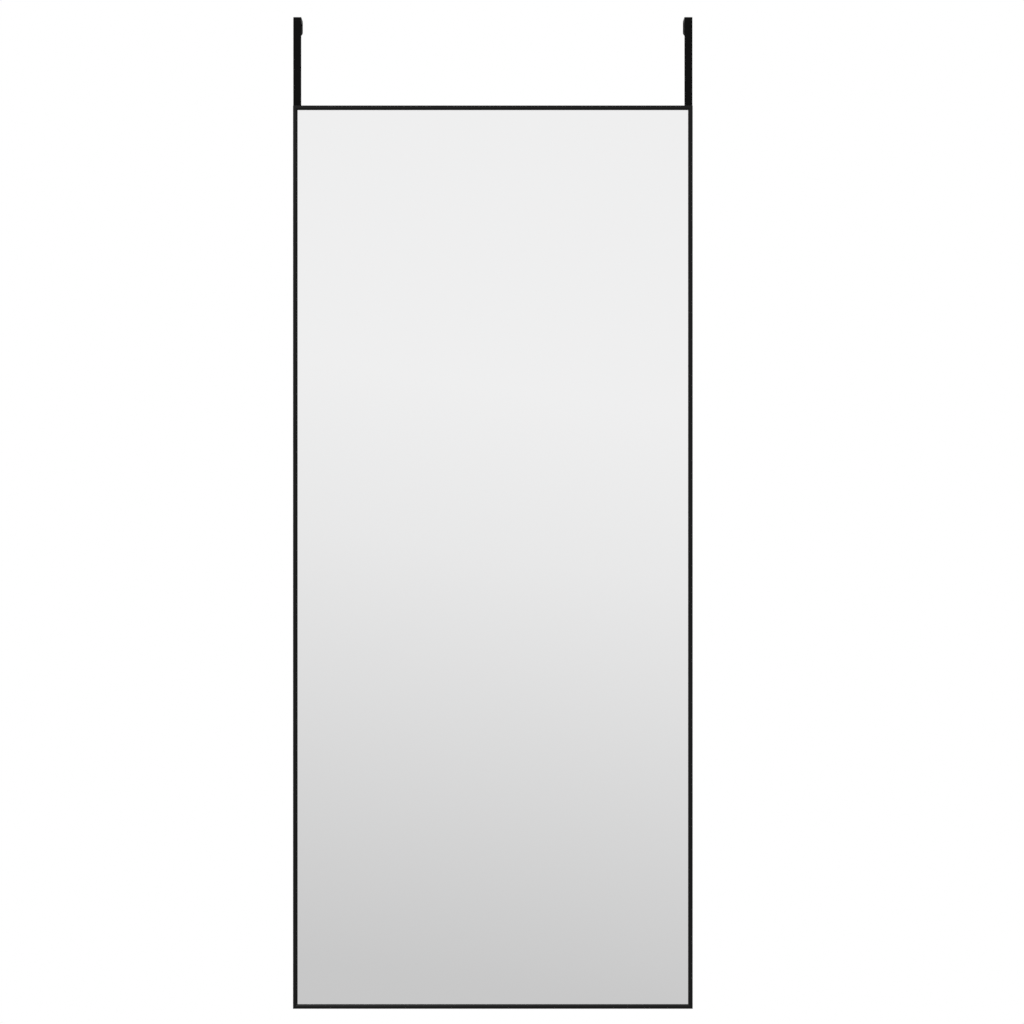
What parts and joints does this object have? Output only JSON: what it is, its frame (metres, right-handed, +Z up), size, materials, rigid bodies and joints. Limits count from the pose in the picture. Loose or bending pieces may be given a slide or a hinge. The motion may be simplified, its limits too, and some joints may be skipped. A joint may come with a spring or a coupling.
{
  "type": "over-the-door mirror",
  "caption": "Tall rectangular mirror in a thin black metal frame, hung over a door's top edge by narrow strap hooks that slide to set its height.",
  "frame": {"origin": "the door's top front edge, midway between the hooks: the pads under the bridges rest at z = 0, the front pads and bumpers touch the door at y = 0", "axes": "+X to the right as seen from the front, +Y back through the door, +Z up; the mirror faces -Y"},
  "size_m": [0.4004, 0.0621, 0.994],
  "materials": {
    "frame_black": "satin",
    "hook_black": "satin",
    "mirror": "polished",
    "mirror_back": "painted",
    "foam_sheet": "matte",
    "board": "matte",
    "rubber": "matte",
    "pad_foam": "matte",
    "zinc": "satin",
    "grub_steel": "satin",
    "screw_black": "satin"
  },
  "bodies": {
    "mirror": {"stile_left": "frame_black", "stile_right": "frame_black", "rail_top": "frame_black", "rail_bottom": "frame_black", "mirror_glass": "mirror", "silver_coat": "mirror_back", "foam_sheet": "foam_sheet", "backing_board": "board", "setting_blocks": "rubber", "corner_key_top_left": "zinc", "corner_key_top_right": "zinc", "corner_key_bottom_left": "zinc", "corner_key_bottom_right": "zinc", "key_screws_top_left": "grub_steel", "key_screws_top_right": "grub_steel", "key_screws_bottom_left": "grub_steel", "key_screws_bottom_right": "grub_steel", "bumper_left": "pad_foam", "bumper_right": "pad_foam"},
    "left_hook": {"hook_left": "hook_black", "front_pad_left": "pad_foam", "top_pad_left": "pad_foam", "rear_pad_left": "pad_foam", "hook_screws_left": "screw_black", "channel_nuts_left": "zinc"},
    "right_hook": {"hook_right": "hook_black", "front_pad_right": "pad_foam", "top_pad_right": "pad_foam", "rear_pad_right": "pad_foam", "hook_screws_right": "screw_black", "channel_nuts_right": "zinc"}
  },
  "joints": [
    {"name": "left_hook_slide", "type": "slide", "parent": "mirror", "child": "left_hook", "axis": [0, 0, 1], "range_m": [-0.06, 0.008]},
    {"name": "right_hook_slide", "type": "slide", "parent": "mirror", "child": "right_hook", "axis": [0, 0, 1], "range_m": [-0.06, 0.008]}
  ]
}
